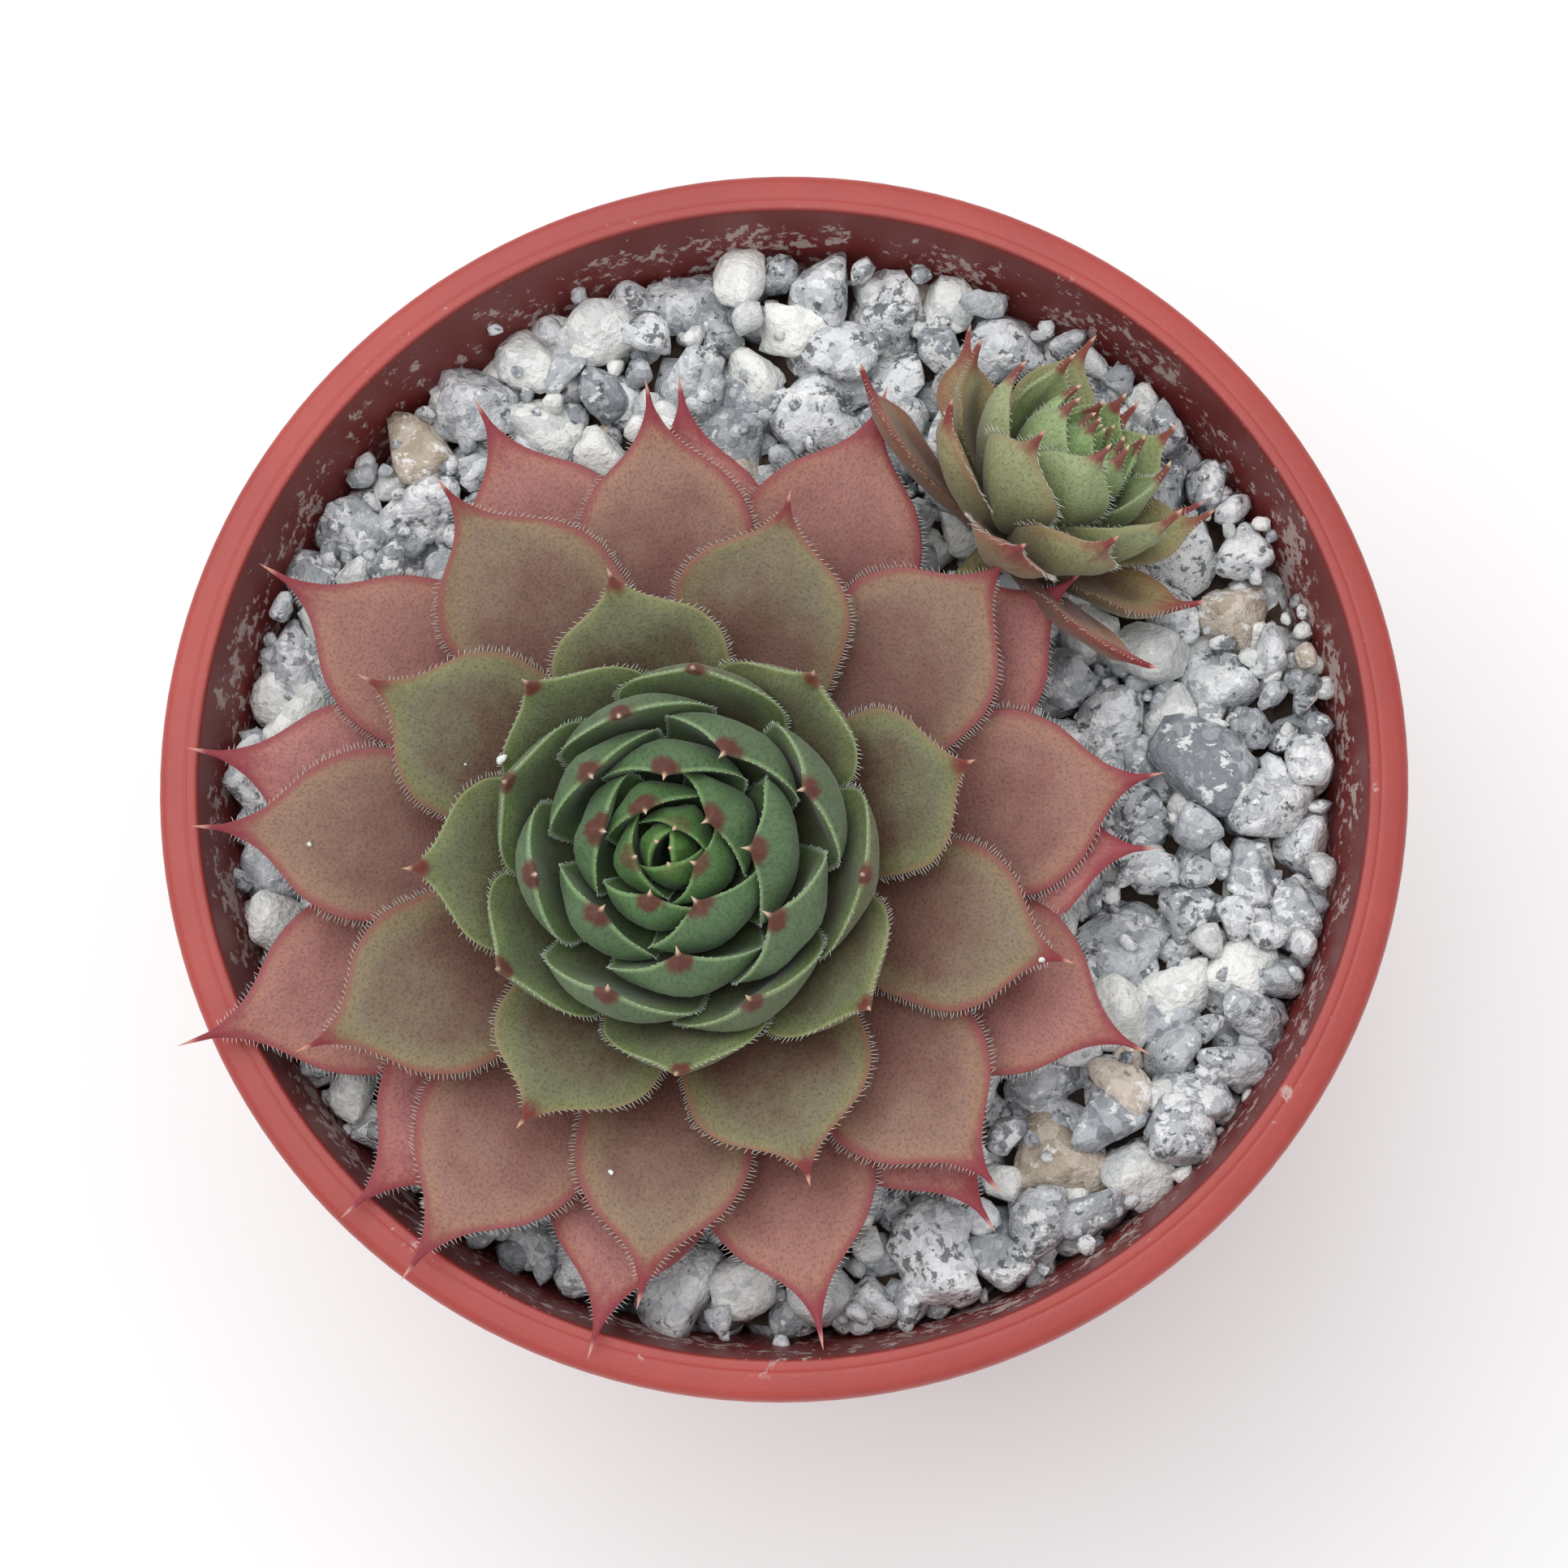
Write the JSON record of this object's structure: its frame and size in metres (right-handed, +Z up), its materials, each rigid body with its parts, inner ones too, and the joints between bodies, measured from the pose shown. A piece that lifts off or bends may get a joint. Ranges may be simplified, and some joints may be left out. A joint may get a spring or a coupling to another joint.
{
  "type": "potted succulent",
  "caption": "Small round nursery pot of stone grit with a hen-and-chicks houseleek: one large rosette and one small offset rosette beside it.",
  "frame": {"origin": "centre of the circle that the pot's foot ring stands on", "axes": "+Z up along the pot's axis; -Y is the side that the large rosette leans towards, and the small offset rosette is on the +X +Y side"},
  "size_m": [0.065, 0.065, 0.0603],
  "materials": {
    "pot_plastic": "satin terracotta-red moulded plastic",
    "potting_mix": "matte peaty mix",
    "stone_grit": "matte crushed grey and white stone",
    "stem": "matte",
    "outer_leaf": "satin, fine velvety, dusty rose-brown with a crimson edge",
    "middle_leaf": "satin, fine velvety, olive green to brown with a crimson point",
    "inner_leaf": "satin, fine velvety, green with a red-brown point",
    "bud_leaf": "satin, fresh green with small red spots",
    "offset_leaf": "satin, olive green with long crimson points"
  },
  "bodies": {
    "root": {"pot": "pot_plastic", "potting_mix": "potting_mix", "grit_top_dressing": "stone_grit", "main_stem": "stem", "main_bud": "bud_leaf", "offset_stem": "stem", "offset_bud": "bud_leaf", "main_leaf_01": "outer_leaf", "main_leaf_02": "outer_leaf", "main_leaf_03": "outer_leaf", "main_leaf_04": "outer_leaf", "main_leaf_05": "outer_leaf", "main_leaf_06": "outer_leaf", "main_leaf_07": "outer_leaf", "main_leaf_08": "outer_leaf", "main_leaf_09": "outer_leaf", "main_leaf_10": "outer_leaf", "main_leaf_11": "outer_leaf", "main_leaf_12": "outer_leaf", "main_leaf_13": "outer_leaf", "main_leaf_14": "outer_leaf", "main_leaf_15": "outer_leaf", "main_leaf_16": "outer_leaf", "main_leaf_17": "middle_leaf", "main_leaf_18": "middle_leaf", "main_leaf_19": "middle_leaf", "main_leaf_20": "middle_leaf", "main_leaf_21": "middle_leaf", "main_leaf_22": "middle_leaf", "main_leaf_23": "middle_leaf", "main_leaf_24": "middle_leaf", "main_leaf_25": "middle_leaf", "main_leaf_26": "middle_leaf", "main_leaf_27": "middle_leaf", "main_leaf_28": "middle_leaf", "main_leaf_29": "middle_leaf", "main_leaf_30": "inner_leaf", "main_leaf_31": "inner_leaf", "main_leaf_32": "inner_leaf", "main_leaf_33": "inner_leaf", "main_leaf_34": "inner_leaf", "main_leaf_35": "inner_leaf", "main_leaf_36": "inner_leaf", "offset_leaf_01": "offset_leaf", "offset_leaf_02": "offset_leaf", "offset_leaf_03": "offset_leaf", "offset_leaf_04": "offset_leaf", "offset_leaf_05": "offset_leaf", "offset_leaf_06": "offset_leaf", "offset_leaf_07": "offset_leaf", "offset_leaf_08": "offset_leaf", "offset_leaf_09": "offset_leaf", "offset_leaf_10": "offset_leaf", "offset_leaf_11": "offset_leaf", "offset_leaf_12": "offset_leaf", "offset_leaf_13": "offset_leaf", "offset_leaf_14": "offset_leaf"}
  },
  "joints": []
}
